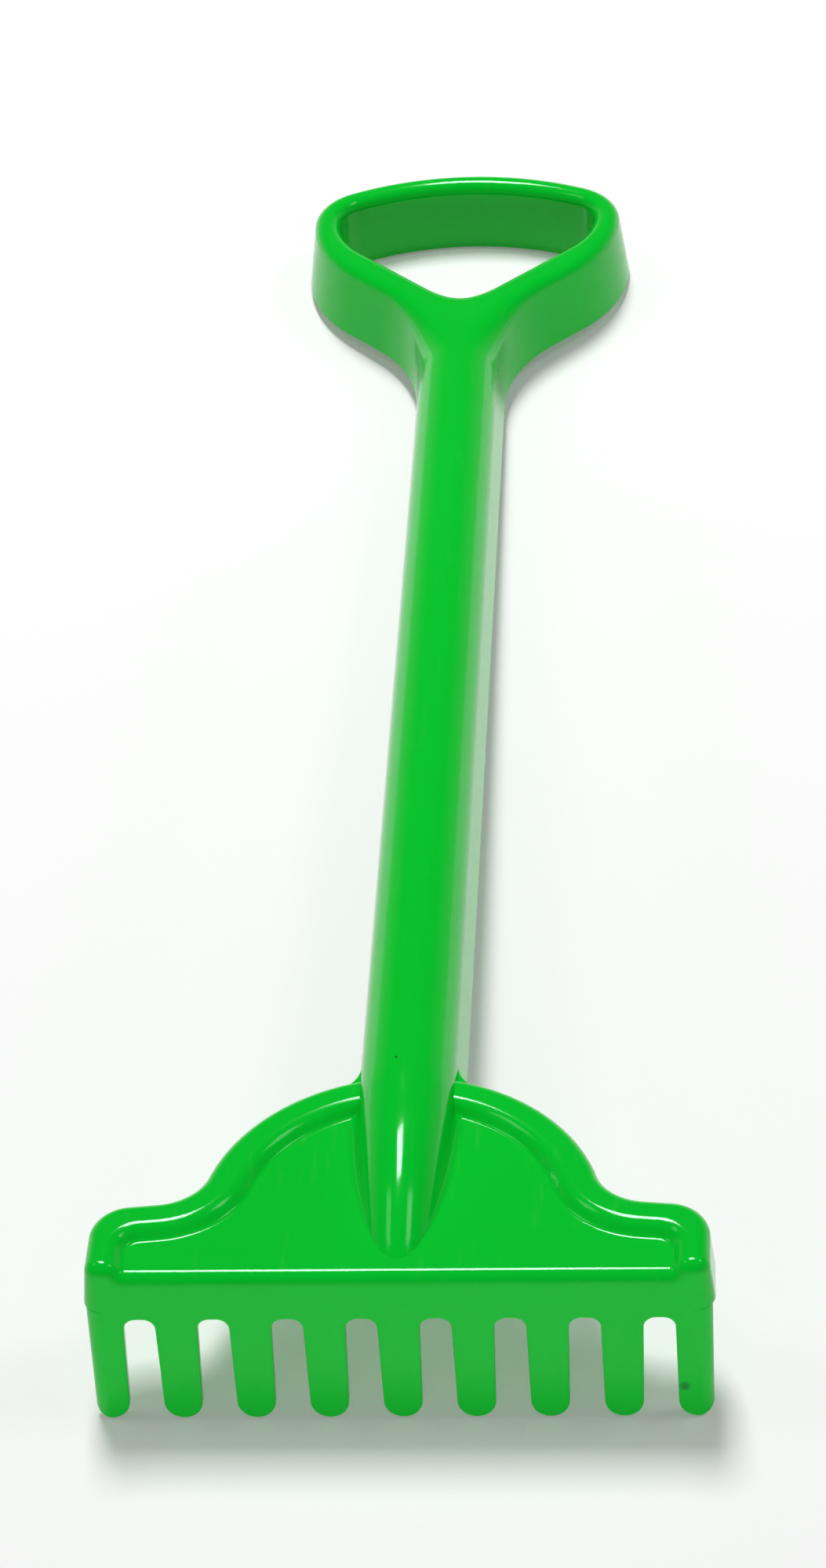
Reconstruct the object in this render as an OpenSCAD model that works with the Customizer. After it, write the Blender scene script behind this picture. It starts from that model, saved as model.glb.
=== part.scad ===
// Child's sand rake: a nine-tined head, a straight shaft and a D-shaped hand grip.
// Three open-backed mouldings of one plastic, all walls drafted towards a common lower edge.
// Each piece is drawn flat, with the panel's top at z = 0 and the head's front at y = 0,
// and then laid down on its tine tips and the far lower edge of the grip.

/* [Mouldings] */
// Wall thickness of all three mouldings
wall = 2.2; // [1.6:0.1:2.8]
// Depth of the common lower edge below the panel
edge_drop = 10.5; // [8:0.5:16]
// Overall length from the front of the head to the far side of the grip
tool_len = 500.6; // [460:0.1:600]

/* [Head] */
// Width of the head across its ends
head_w = 150; // [146:1:170]
// Depth of the head from its front to the top of the dome
head_depth = 70; // [66:1:76]
// Radius of the dome behind the panel
dome_r = 49.5; // [46:0.5:52]
// Radius of the hollow between dome and shoulder
neck_r = 13.4; // [10:0.2:18]
// Distance of the shoulders from the front, measured at the ends
shoulder_y = 22.8; // [20:0.2:26]
// Fall of the shoulders towards the ends, in degrees
shoulder_fall = 6; // [2:1:10]
// Radius of the rear corners in plan
corner_r = 10; // [8:0.5:13]
// Radius of the front corners in plan
front_corner_r = 4; // [3.9:0.1:6]
// Draft of the skirt and of the front wall, in degrees
head_draft = 6; // [3:0.5:8]
// Height of the rim above the panel
rim_h = 2.8; // [2.4:0.1:4]
// Radius of the rim's outer edge
rim_edge_r = 3.5; // [3:0.1:3.6]
// Width of the rim along the back, from its outer edge to its foot on the panel
rim_w = 12.1; // [11:0.1:14]
// Width of the rim at the two ends
rim_end_w = 9.9; // [9.5:0.1:12]
// Radius of the rim's foot on the panel
foot_r = 3; // [2:0.1:4]
// Radius of the inner edge of the rim's crest
crest_r = 3.5; // [3:0.1:4]
// Slope of the rim's inner side, in degrees
rim_slope = 38; // [30:1:45]
// Radius of the foot line at the ends of the panel
foot_corner_r = 3; // [2.5:0.1:4]
// Radius of the fold between panel and front wall
fold_r = 3.3; // [2.5:0.1:4]

/* [Tines] */
// Number of tines
tines = 9; // [7:2:9]
// Width of the two outer tines
end_tine_w = 9.1; // [8:0.1:10]
// Thickness of the front wall and the tines
tine_t = 2.8; // [2.2:0.1:3.6]
// Distance from the panel down to the top of the slots
slot_top = 12.9; // [12:0.1:16]
// Distance from the panel down to the tips
tine_drop = 43.3; // [36:0.1:60]
// Width of a slot at its top
slot_w = 7.7; // [7:0.1:9]
// Width of a slot at the tips
slot_tip_w = 8.5; // [8:0.1:9.5]
// Radius of the slots' upper corners
slot_corner_r = 3; // [2:0.1:3.4]
// Step from the skirt in to the edge of the outer tines
tine_step = 0.5; // [0.2:0.1:0.8]

/* [Shaft] */
// Radius of the shaft's rounded top
shaft_r = 12.1; // [11:0.1:13]
// Draft of the sides of shaft and grip, in degrees
side_draft = 8; // [5:0.5:9]
// Slope of the nose that runs down onto the panel, in degrees
nose_slope = 14; // [12:0.5:17]
// Distance from the head's front to the tip of the nose
nose_tip_y = 6.2; // [5:0.1:9]
// Radius of the bend between shaft and nose
nose_bend_r = 60; // [40:1:90]
// Straight lengths that the bend is made of
bend_steps = 4; // [2:1:6]
// Number of cross ribs in the shaft
shaft_ribs = 5; // [3:1:7]
// Thickness of a cross rib
rib_t = 1.8; // [1.4:0.1:2.4]
// Set-back of the ribs' lower edge from the shaft's
rib_set_back = 4; // [2:0.5:6]
// Radius of the pegs that hold the nose on the panel
peg_r = 2.5; // [2:0.1:3]
// Radius of the pegs' flattened heads under the panel
peg_head_r = 4.5; // [4:0.1:5.5]
// Thickness of the pegs' heads
peg_head_t = 1.2; // [1:0.1:1.6]
// Spacing of the pegs
peg_gap = 18; // [14:1:20]
// Radius of the fillets between shaft and skirt
gusset_r = 9; // [6:0.5:11]

/* [Grip] */
// Width of the grip at panel level
grip_w = 100.2; // [94:0.1:112]
// Width of the round band that the hand closes on
band_w = 8.2; // [7.4:0.1:8.8]
// Distance from the far end back to the widest place
grip_wide_y = 32.6; // [28:0.1:36]
// Radius of the far corners
grip_corner_r = 20; // [16:0.5:22]
// Radius of the sides before the widest place
grip_side_r = 29; // [24:0.5:32]
// Radius of the hollow flanks that run into the shaft
flank_r = 50; // [46:0.5:56]
// Straight length of the grip between its flanks and the shaft's end
neck_len = 6.4; // [5:0.1:12]
// Radius of the hand opening at the throat
throat_r = 14; // [10:0.5:16]
// Radius that rounds the edge of the opening at the throat
throat_edge_r = 6.5; // [4:0.5:8]
// Draft of the wall round the hand opening, in degrees
hole_draft = 3; // [1:0.5:5]
// Length of the tongue that the shaft's end slides over
tongue_len = 22; // [15:1:30]
// Thickness of the closing wall at the tongue
bulkhead_t = 3; // [2:0.5:4]
// Cross ribs inside each half of the band
band_ribs = 4; // [4:1:5]

/* [Fit] */
// Gap between the shaft and the head's rear wall and rim
seat_gap = 0.05; // [0.05:0.05:0.2]
// Gap between the tongue and the inside of the shaft
tongue_gap = 0.2; // [0.15:0.05:0.3]
// Gap between a peg and its hole
peg_hole_gap = 0.2; // [0.15:0.05:0.3]

/* [Hidden] */
green = [0, 0.72, 0.2];
$fn = 96;
// Sides of a circle in the two pieces whose skins are made of flat facets
mesh_fn = 48;
// Overrun of every cut past the face that it opens
over = 1;
// Smallest length that still counts
tiny = 0.02;
// Reach of the front cut ahead of the head
front_run = 8;
// Angle above level down to which the straight lengths of the bend stay round
bend_side = 40;
// Turn of one step along an outline, in degrees
turn_step = 6;
// Steps of a rounded edge
round_steps = 5;
// Steps of the rim's foot
foot_steps = 3;

// Head outline, seen from above
shoulder_n = [sin(shoulder_fall), cos(shoulder_fall)];
shoulder_d = [cos(shoulder_fall), -sin(shoulder_fall)];
shoulder_p = [head_w / 2, shoulder_y];
dome_c = [0, head_depth - dome_r];
neck_q = shoulder_p + neck_r * shoulder_n - dome_c;
neck_b = neck_q * shoulder_d;
neck_s = neck_b - sqrt(neck_b * neck_b - neck_q * neck_q + pow(dome_r + neck_r, 2));
neck_c = shoulder_p + neck_r * shoulder_n - neck_s * shoulder_d;
dome_a = atan2(neck_c[1] - dome_c[1], neck_c[0] - dome_c[0]);
corner_c = inner_corner(corner_r, 0, 0);
front_c = [head_w / 2 - front_corner_r, front_corner_r];
foot_corner_c = inner_corner(foot_corner_r, rim_w, rim_end_w);
foot_x = head_w / 2 - rim_end_w;

// Centre of a corner of radius r between the shoulder line and the end line,
// each moved inwards by its own amount
function inner_corner(r, back_in, end_in) =
    let (x = head_w / 2 - end_in - r)
    [x, shoulder_y - (r + back_in + (x - head_w / 2) * shoulder_n[0]) / shoulder_n[1]];

// An outline is a list of arcs that meet in tangents, with straight lines between them.
// It runs from the middle line down the right side. bulge is 1 where it bends outwards and
// -1 where it is hollow. e0 and e1 are the radii of the rounded edge at its two ends.
function dir(a) = [cos(a), sin(a)];
function ease(t) = t * t * (3 - 2 * t);
function arc(c, r, a0, a1, bulge = 1, e0 = 0, e1 = 0, at_end = 1) =
    let (n = ceil(abs(a1 - a0) / turn_step))
    [for (i = [0 : n - 1 + at_end]) let (a = a0 + (a1 - a0) * i / n)
        [c + r * dir(a), bulge * dir(a), e0 + (e1 - e0) * ease(i / n)]];
function last(p, n, e = 0) = [[p, n, e]];
function flipped(s) = [[-s[0][0], s[0][1]], [-s[1][0], s[1][1]], s[2]];
function closed(half) = concat(half,
    [for (i = [len(half) - 1 : -1 : 0]) if (half[i][0][0] > tiny) flipped(half[i])]);

crown_line = closed(concat(
    arc(dome_c, dome_r, 90, dome_a, 1, 0, 0, 0),
    arc(neck_c, neck_r, dome_a + 180, 270 - shoulder_fall, -1),
    arc(corner_c, corner_r, 90 - shoulder_fall, 0),
    arc(front_c, front_corner_r, 0, -90)));
recess_line = closed(concat(
    arc(dome_c, dome_r - rim_w, 90, dome_a, 1, 0, 0, 0),
    arc(neck_c, neck_r + rim_w, dome_a + 180, 270 - shoulder_fall, -1),
    arc(foot_corner_c, foot_corner_r, 90 - shoulder_fall, 0),
    last([foot_x, -front_run], [1, 0])));
rim_run = (foot_r + crest_r) * sin(rim_slope)
    + (rim_h - (foot_r + crest_r) * (1 - cos(rim_slope))) / tan(rim_slope);

// Tines
tine_edge = head_w / 2 + edge_drop * tan(head_draft) - tine_step;
pitch = (2 * tine_edge - 2 * end_tine_w - slot_w) / (tines - 2);
slot_root = slot_top + slot_corner_r;
tine_root = edge_drop - wall;
web_x = front_c[0] - wall;

// Middle of the slot before tine i, and half the width of a slot at a depth below the panel
function slot_x(i) = (i - tines / 2) * pitch;
function slot_half(depth) =
    (slot_w + (slot_tip_w - slot_w) * (depth - slot_root) / (tine_drop - slot_root)) / 2;
// Left or right side of tine i at a depth, for side -1 or 1. Beside a slot it lies a little
// outwards, so that the slot cuts it.
function tine_side(i, side, depth) =
    let (slot = i + (side + 1) / 2)
    slot == 0 || slot == tines ? side * tine_edge
        : slot_x(slot) - side * (slot_half(depth) - tiny);

// Shaft and nose
shaft_half = shaft_r / cos(side_draft);
nose_rise_y = nose_tip_y + shaft_r / sin(nose_slope);
bend_y = nose_rise_y + nose_bend_r * tan(nose_slope / 2);
nose_rise = tool_len * tan(nose_slope);
peg_y = nose_rise_y - shaft_r / 4;
gusset_c = [shaft_half + gusset_r,
    dome_c[1] + sqrt(pow(dome_r + gusset_r, 2) - pow(shaft_half + gusset_r, 2))];

// Grip outline, seen from above
wide_y = tool_len - grip_wide_y;
grip_corner_c = [grip_w / 2 - grip_corner_r, wide_y];
far_r = (pow(grip_corner_c[0], 2) + pow(grip_wide_y, 2) - pow(grip_corner_r, 2))
    / (2 * (grip_wide_y - grip_corner_r));
far_c = [0, tool_len - far_r];
far_a = atan2(wide_y - far_c[1], grip_corner_c[0]);
side_c = [grip_w / 2 - grip_side_r, wide_y];
arm_a = 45;
arm_n = [cos(arm_a), -sin(arm_a)];
flank_x = shaft_half + flank_r;
arm_p = side_c + grip_side_r * arm_n;
flank_y = arm_p[1] + (flank_x - flank_r * cos(arm_a) - arm_p[0]) / tan(arm_a)
    - flank_r * sin(arm_a);

// Joint of shaft and grip, and the shaft's ribs between the head and the tongue
joint_y = flank_y - neck_len;
rib_start = head_depth + 2 * gusset_r;
rib_step = (joint_y - tongue_len - rib_start) / shaft_ribs;
grip_top = shaft_r;
band_r = band_w / 2 - tiny;
function round_in(r, draft) = (r + (grip_top - r) * sin(draft)) / cos(draft);
hole_in = round_in(band_w / 2, side_draft) + round_in(band_w / 2, hole_draft);
throat_line = arm_p - hole_in * arm_n;
throat_c = [0, throat_line[1] + (throat_r - throat_line[0] * cos(arm_a)) / sin(arm_a)];

band_line = concat(
    arc(far_c, far_r, 90, far_a, 1, band_r, band_r, 0),
    arc(grip_corner_c, grip_corner_r, far_a, 0, 1, band_r, band_r, 0),
    arc(side_c, grip_side_r, 0, -arm_a, 1, band_r, band_r));
function grip_line(end_y) = closed(concat(band_line,
    arc([flank_x, flank_y], flank_r, 180 - arm_a, 180, -1, band_r, shaft_r - tiny),
    last([shaft_half, end_y], [1, 0], shaft_r - tiny)));
hole_line = closed(concat(
    arc(far_c, far_r - hole_in, 90, far_a, 1, band_r, band_r, 0),
    arc(grip_corner_c, grip_corner_r - hole_in, far_a, 0, 1, band_r, band_r, 0),
    arc(side_c, grip_side_r - hole_in, 0, -arm_a, 1, band_r, band_r),
    arc(throat_c, throat_r, -arm_a, -90, 1, band_r, throat_edge_r)));

// Place on the ground: the tine tips and the grip's far lower edge share one level
tip_back = [-tine_drop * sin(head_draft) + tine_t * cos(head_draft),
    -tine_drop * cos(head_draft) - tine_t * sin(head_draft)];
tip_front = [-tine_drop * sin(head_draft), -tine_drop * cos(head_draft)];
far_edge = [tool_len + edge_drop * tan(side_draft), -edge_drop];
lay = atan2(far_edge[1] - tip_back[1], far_edge[0] - tip_back[0]);
ground_z = tip_back[1] * cos(lay) - tip_back[0] * sin(lay);
y_low = tip_front[0] * cos(lay) + tip_front[1] * sin(lay);
y_high = far_edge[0] * cos(lay) + far_edge[1] * sin(lay);

module lie_down() {
    translate([0, -(y_low + y_high) / 2, -ground_z]) rotate([-lay, 0, 0]) children();
}

module both_sides() {
    children();
    mirror([1, 0, 0]) children();
}

// Sections of an edge, as [distance outwards from the outline, height], from below upwards.
// Each starts at the lower edge, or straight below it where its skin is a cut that runs out.
function low_end(x, run) = run > 0 ? [[x, -edge_drop - run], [x, -edge_drop]] : [[x, -edge_drop]];
// Outer edge: a drafted wall rounded over into the flat top, inset to its inner skin
function edge_section(top, r, draft, inset, run) =
    let (c = [-(r + (top - r) * sin(draft)) / cos(draft), top - r])
    concat(low_end((edge_drop * sin(draft) - inset) / cos(draft), run),
        [for (i = [0 : round_steps])
            c + (r - inset) * dir(draft + (90 - draft) * i / round_steps)]);
// Edge of an opening: the space inside a drafted wall that is rounded over at its top
function hole_section(top, r, draft, grow, run) =
    let (c = [(r + (top - r) * sin(draft)) / cos(draft), top - r])
    concat(low_end((grow - edge_drop * sin(draft)) / cos(draft), run),
        [for (i = [0 : round_steps])
            c + (r - grow) * dir(180 - draft - (90 - draft) * i / round_steps)],
        [[c[0], top + over]]);
// Inner side of the rim: the space above its foot, its slope and its crest
function rim_section(grow) = concat(
    [for (i = [0 : foot_steps])
        [0, foot_r] + (foot_r + grow) * dir(rim_slope * i / foot_steps - 90)],
    [for (i = [0 : foot_steps])
        [rim_run, rim_h - crest_r] + (crest_r - grow) * dir(90 + rim_slope * (1 - i / foot_steps))],
    [[rim_run, rim_h + over]]);

// Solid bounded by a section carried round a closed outline, the same at every place but
// for the edge radius that the outline holds there
module skin(line, sections) {
    n = len(line);
    top = len(sections[0]) - 1;
    points = [for (k = [0 : top]) for (i = [0 : n - 1])
        [each line[i][0] + sections[i][k][0] * line[i][1], sections[i][k][1]]];
    sides = [for (k = [0 : top - 1]) for (i = [0 : n - 1]) let (j = (i + 1) % n)
        [k * n + i, k * n + j, (k + 1) * n + j, (k + 1) * n + i]];
    polyhedron(points, concat(sides, [[for (i = [0 : n - 1]) top * n + i]],
        [[for (i = [n - 1 : -1 : 0]) i]]));
}

module crown(inset, run) {
    section = edge_section(rim_h, rim_edge_r, head_draft, inset, run);
    skin(crown_line, [for (s = crown_line) section]);
}

module recess(grow) {
    section = rim_section(grow);
    skin(recess_line, [for (s = recess_line) section]);
}

// Rounds the fold between the sunk panel and the front wall
module fold_cut() {
    in_y = fold_r * (1 - sin(head_draft)) / cos(head_draft);
    down = fold_r * (1 - sin(head_draft));
    translate([-foot_x, 0, 0]) rotate([90, 0, 90]) linear_extrude(2 * foot_x) difference() {
        translate([-over, -down]) square([in_y + over, down + over]);
        translate([in_y, -fold_r]) circle(fold_r);
    }
}

// Section of the shaft: a round top that runs into two drafted sides
module shaft_section(inset, drop, draft = side_draft) {
    r = shaft_r - inset;
    side = [cos(draft), sin(draft)];
    base = (r + drop * sin(draft)) / cos(draft);
    top = (r - r * sin(draft)) / cos(draft);
    difference() {
        polygon([[-base, -drop], [-top, r], [top, r], [base, -drop]]);
        difference() {
            polygon([[0, 0], (r + over) * side, [r + over, r + over], [-r - over, r + over],
                [-(r + over) * side[0], (r + over) * side[1]]]);
            circle(r);
        }
    }
}

module along_shaft(y0, y1) {
    translate([0, y1, 0]) rotate([90, 0, 0]) linear_extrude(y1 - y0) children();
}

// The shaft with the bend and the nose that runs down to the panel. The nose and each length
// of the bend is a bar, and the shaft is what all the bars have in common. The nose has the
// shaft's section, and the lengths between only round off the top.
module shaft_run(inset, drop, y1) {
    intersection() {
        along_shaft(0, y1) shaft_section(inset, drop);
        intersection_for(i = [1 : bend_steps])
            bar(nose_slope * i / bend_steps, inset, i == bend_steps ? side_draft : bend_side);
    }
}

module bar(a, inset, draft) {
    translate([0, bend_y, -nose_bend_r]) rotate([a, 0, 0]) translate([0, -bend_y, nose_bend_r])
        along_shaft(-front_run, 2 * tool_len)
            shaft_section(inset, nose_rise + edge_drop, draft);
}

// Fillet in plan between one side of the shaft and the skirt
module gusset() {
    mid = dome_r - wall / 2;
    root = dome_c + mid * (gusset_c - dome_c) / norm(gusset_c - dome_c);
    side_x = shaft_half + seat_gap;
    translate([0, 0, -edge_drop]) linear_extrude(edge_drop) difference() {
        polygon([[side_x, dome_c[1] + sqrt(mid * mid - side_x * side_x)],
            [side_x, gusset_c[1]], gusset_c, root]);
        translate(gusset_c) circle(gusset_r);
    }
}

// Front wall and tines seen square on: the web across the slots and the tines, then the slots
module tine_shape() {
    difference() {
        union() {
            translate([-web_x, -slot_root - over])
                square([2 * web_x, slot_root + over - fold_r - wall / 2]);
            for (i = [0 : tines - 1]) tine(i);
        }
        for (i = [1 : tines - 1]) slot(i);
    }
}

// One tine, which narrows a little from its root to its round tip
module tine(i) {
    level = tine_drop - (tine_side(i, 1, tine_drop) - tine_side(i, -1, tine_drop)) / 2;
    left = [tine_side(i, -1, tine_root), tine_side(i, -1, level)];
    right = [tine_side(i, 1, tine_root), tine_side(i, 1, level)];
    tip_r = (right[1] - left[1]) / 2;
    hull() {
        translate([left[0], -tine_root - tiny]) square([right[0] - left[0], tiny]);
        translate([left[1] + tip_r, tip_r - tine_drop]) circle(tip_r);
    }
}

module slot(i) {
    low = tine_drop + over;
    translate([slot_x(i), 0]) hull() {
        for (side = [-1, 1]) translate([side * (slot_w / 2 - slot_corner_r), -slot_root])
            circle(slot_corner_r);
        translate([-slot_half(low), -low]) square([2 * slot_half(low), tiny]);
    }
}

// The same wall in plan, with the round front corners that the outer tines keep
module corner_shape() {
    flat = tine_edge - front_corner_r;
    back = front_corner_r + tine_t;
    polygon([[-flat, 0], [flat, 0], [tine_edge, front_corner_r], [tine_edge, back],
        [-tine_edge, back], [-tine_edge, front_corner_r]]);
    for (side = [-1, 1]) translate([side * flat, front_corner_r]) circle(front_corner_r);
}

module tine_wall() {
    rotate([90 - head_draft, 0, 0]) translate([0, 0, tiny]) intersection() {
        translate([0, 0, -tine_t]) linear_extrude(tine_t + over) tine_shape();
        rotate([90, 0, 0]) mirror([0, 1, 0]) linear_extrude(tine_drop + over) corner_shape();
    }
}

module pegs(r, low) {
    for (i = [0, 1]) {
        y = peg_y - i * peg_gap;
        roof = (y - nose_tip_y) * tan(nose_slope) - wall / 2;
        translate([0, y, low]) cylinder(h = roof - low, r = r);
    }
}

module rake_head() {
    $fn = mesh_fn;
    color(green) lie_down() {
        difference() {
            crown(0, 0);
            recess(0);
            fold_cut();
            difference() {
                crown(wall, over);
                recess(wall);
                translate([-shaft_half - wall, 0, -wall])
                    cube([2 * (shaft_half + wall), head_depth, wall + rim_h]);
            }
            intersection() {
                shaft_run(-seat_gap, edge_drop, joint_y);
                translate([-head_w / 2, 0, 0]) cube([head_w, 2 * head_depth, shaft_r + over]);
            }
            pegs(peg_r + peg_hole_gap, -wall - over);
        }
        tine_wall();
        both_sides() gusset();
    }
}

// The space that the head takes up under the panel, with its drafted rear wall
module seat() {
    h = edge_drop + over;
    translate([0, dome_c[1], -h])
        cylinder(h = h, r1 = dome_r + seat_gap + h * tan(head_draft), r2 = dome_r + seat_gap);
}

module shaft() {
    color(green) lie_down() {
        difference() {
            shaft_run(0, edge_drop, joint_y);
            seat();
            shaft_run(wall, edge_drop + over, joint_y + over);
        }
        for (i = [0 : shaft_ribs - 1]) {
            y = rib_start + i * rib_step;
            along_shaft(y, y + rib_t) shaft_section(wall / 2, edge_drop - rib_set_back);
        }
        pegs(peg_r, -wall - peg_head_t);
        for (i = [0, 1]) translate([0, peg_y - i * peg_gap, -wall - peg_head_t])
            cylinder(h = peg_head_t, r = peg_head_r);
    }
}

module grip_body(inset, end_y, run) {
    line = grip_line(end_y);
    skin(line, [for (s = line) edge_section(grip_top, s[2], side_draft, inset, run)]);
}

module opening(grow, run) {
    skin(hole_line, [for (s = hole_line) hole_section(grip_top, s[2], hole_draft, grow, run)]);
}

// Cross rib inside the band at one place of its outline
module band_rib(s) {
    h = edge_drop - rib_set_back;
    outer = (h * sin(side_draft) - wall / 2) / cos(side_draft);
    inner = (wall / 2 - h * sin(hole_draft)) / cos(hole_draft) - hole_in;
    translate([each s[0], 0]) rotate([0, 0, atan2(s[1][1], s[1][0])]) rotate([90, 0, 0])
        linear_extrude(rib_t, center = true) hull() {
            translate([-round_in(band_w / 2, side_draft), grip_top - band_w / 2])
                circle(band_w / 2 - wall / 2);
            translate([inner, -h]) square([outer - inner, tiny]);
        }
}

module grip() {
    $fn = mesh_fn;
    color(green) lie_down() {
        difference() {
            grip_body(0, joint_y, 0);
            opening(0, over);
            difference() {
                grip_body(wall, joint_y + bulkhead_t, over);
                opening(wall, 2 * over);
            }
        }
        both_sides() for (i = [1 : band_ribs])
            band_rib(band_line[round((i - 0.5) / band_ribs * (len(band_line) - 1))]);
        along_shaft(joint_y - tongue_len, joint_y + bulkhead_t / 2) difference() {
            shaft_section(wall + tongue_gap, edge_drop - rib_set_back);
            shaft_section(2 * wall + tongue_gap, edge_drop);
        }
    }
}

rake_head();
shaft();
grip();
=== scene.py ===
# %% [markdown]
# # A child's sand rake in glossy green plastic
# The rake is three open-backed mouldings: a nine-tined head, a long hollow shaft and a D-shaped
# hand grip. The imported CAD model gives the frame, so every piece here lies where its solid lies.
# All of it is drawn flat first, with the head's panel at height zero and the head's front at
# y = 0, because outlines are easiest to read that way. At the end each piece is laid down on its
# tine tips and on the far edge of the grip.

# %% The frame
import math

import bmesh
import bpy
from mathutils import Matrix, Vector


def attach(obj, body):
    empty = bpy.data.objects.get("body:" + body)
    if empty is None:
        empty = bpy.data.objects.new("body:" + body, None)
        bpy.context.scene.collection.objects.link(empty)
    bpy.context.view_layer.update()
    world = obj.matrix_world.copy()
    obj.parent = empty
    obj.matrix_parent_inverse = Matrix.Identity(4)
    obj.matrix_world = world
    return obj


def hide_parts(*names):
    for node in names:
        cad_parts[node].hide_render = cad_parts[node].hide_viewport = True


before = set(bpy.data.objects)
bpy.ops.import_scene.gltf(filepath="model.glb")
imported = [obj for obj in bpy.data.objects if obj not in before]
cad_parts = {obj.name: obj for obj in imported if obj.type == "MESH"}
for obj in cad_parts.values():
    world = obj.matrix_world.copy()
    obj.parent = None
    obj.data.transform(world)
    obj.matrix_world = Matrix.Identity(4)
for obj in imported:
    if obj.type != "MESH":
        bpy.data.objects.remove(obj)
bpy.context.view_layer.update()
MM = 0.001

# %% [markdown]
# ## Working by hand, without a window
# Operators act on whatever is selected, so every step starts by selecting nothing. Faces and
# edges are then picked by their place or by the way they look, as a hand would pick them.

# %% Picking
def pick(*objects):
    """Select only these objects and make the first of them the active one."""
    bpy.ops.object.select_all(action="DESELECT")
    for obj in objects:
        obj.select_set(True)
    if objects:
        bpy.context.view_layer.objects.active = objects[0]


def edit(obj, mode="VERT"):
    pick(obj)
    bpy.ops.object.mode_set(mode="EDIT")
    bpy.ops.mesh.select_mode(type=mode)
    bpy.ops.mesh.select_all(action="DESELECT")
    return bmesh.from_edit_mesh(obj.data)


def edit_all(obj):
    edit(obj)
    bpy.ops.mesh.select_all(action="SELECT")


def done():
    bpy.ops.object.mode_set(mode="OBJECT")


def pick_parts(obj, parts, wanted):
    """Select the vertices, edges or faces that are wanted, and count them."""
    count = 0
    for part in parts:
        if wanted(part):
            part.select_set(True)
            count += 1
    bmesh.update_edit_mesh(obj.data)
    return count


# %% [markdown]
# ## Habits of a tidy bench
# A few moves come again and again: finish a modifier, cut one body out of another, turn all the
# faces outwards, write a piece's place into its mesh, copy it, and join what belongs together.
# Each copy gets a mesh of its own, so that it can be cut or moved without changing the first.

# %% Finishing
def apply_modifier(obj, kind, **settings):
    pick(obj)
    bpy.ops.object.modifier_add(type=kind)
    modifier = obj.modifiers[-1]
    for name, value in settings.items():
        setattr(modifier, name, value)
    bpy.ops.object.modifier_apply(modifier=modifier.name)


def cut_away(obj, cutter):
    apply_modifier(obj, "BOOLEAN", object=cutter, operation="DIFFERENCE", solver="EXACT")
    bpy.data.objects.remove(cutter)


def outward(obj, merge=0.0):
    """Turn the faces outwards, after merging the points that are nearer than merge metres."""
    edit_all(obj)
    if merge:
        bpy.ops.mesh.remove_doubles(threshold=merge)
    bpy.ops.mesh.normals_make_consistent(inside=False)
    done()


def turn_over(obj):
    edit_all(obj)
    bpy.ops.mesh.flip_normals()
    done()


def settle(obj, place=None, turn=None):
    """Move and turn an object where asked, and write its place and turn into its mesh."""
    pick(obj)
    if place is not None:
        obj.location = place
    if turn is not None:
        obj.rotation_euler = turn
    bpy.ops.object.transform_apply(location=True, rotation=True, scale=False)


def copies(obj, places):
    """Copies of an object, each with its own mesh, moved by the given distances."""
    made = []
    for place in places:
        copy = obj.copy()
        copy.data = obj.data.copy()
        bpy.context.collection.objects.link(copy)
        settle(copy, place)
        made.append(copy)
    return made


def join(*objects):
    """Make one object of several, under the name of the first."""
    pick(*objects)
    bpy.ops.object.join()


def report(title, obj):
    print(title, len(obj.data.polygons), "faces,", [round(d / MM, 1) for d in obj.dimensions])


print("drawn lengths are in millimetres, and 1 mm is", MM, "m")

# %% [markdown]
# ## Outlines drawn with a compass
# A moulded toy's outline is a chain of arcs that meet in tangents. One vertex is enough to draw
# it: Spin carries the vertex along an arc, as a compass would, and Extrude carries it along a
# straight line. Only the right half is drawn, and a Mirror modifier adds the left one.

# %% Compass and ruler
SAME = 1e-6


def direction(degrees):
    return Vector((math.cos(math.radians(degrees)), math.sin(math.radians(degrees)), 0))


def at(x, y=0.0, z=0.0):
    return Vector((x, y, z)) * MM


def pencil(name, start):
    """A new object in edit mode with a single vertex, which is the pencil's tip."""
    pick()
    bpy.ops.mesh.primitive_plane_add(size=MM)
    obj = bpy.context.object
    obj.name = name
    bpy.ops.object.mode_set(mode="EDIT")
    bpy.ops.mesh.select_mode(type="VERT")
    bpy.ops.mesh.select_all(action="SELECT")
    bpy.ops.mesh.merge(type="CENTER")
    bpy.ops.transform.translate(value=start)
    return obj


def line_to(pen, point):
    tip = next(v.co.copy() for v in bmesh.from_edit_mesh(pen.data).verts if v.select)
    bpy.ops.mesh.extrude_region_move(TRANSFORM_OT_translate={"value": point - tip})


def arc(centre, degrees, step=2.5):
    """Carry the pencil round a centre, with a point at least every few degrees."""
    steps = max(2, math.ceil(abs(degrees) / step))
    bpy.ops.mesh.spin(steps=steps, angle=math.radians(-degrees), center=centre, axis=(0, 0, 1))


def raise_by(distance):
    bpy.ops.mesh.extrude_region_move(TRANSFORM_OT_translate={"value": at(0, 0, distance)})


def fill_outline():
    bpy.ops.mesh.select_all(action="SELECT")
    bpy.ops.mesh.edge_face_add()


def close_outline(pen):
    """Mirror the drawn half and fill the whole outline with one face that looks up."""
    done()
    apply_modifier(pen, "MIRROR", merge_threshold=SAME)
    edit_all(pen)
    bpy.ops.mesh.remove_doubles(threshold=SAME)
    bpy.ops.mesh.edge_face_add()
    face = bmesh.from_edit_mesh(pen.data).faces[0]
    if face.normal.z < 0:
        bpy.ops.mesh.flip_normals()
    print(pen.name, "outline:", len(face.verts), "points")


print("points nearer than", SAME / MM, "mm count as one")

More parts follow.
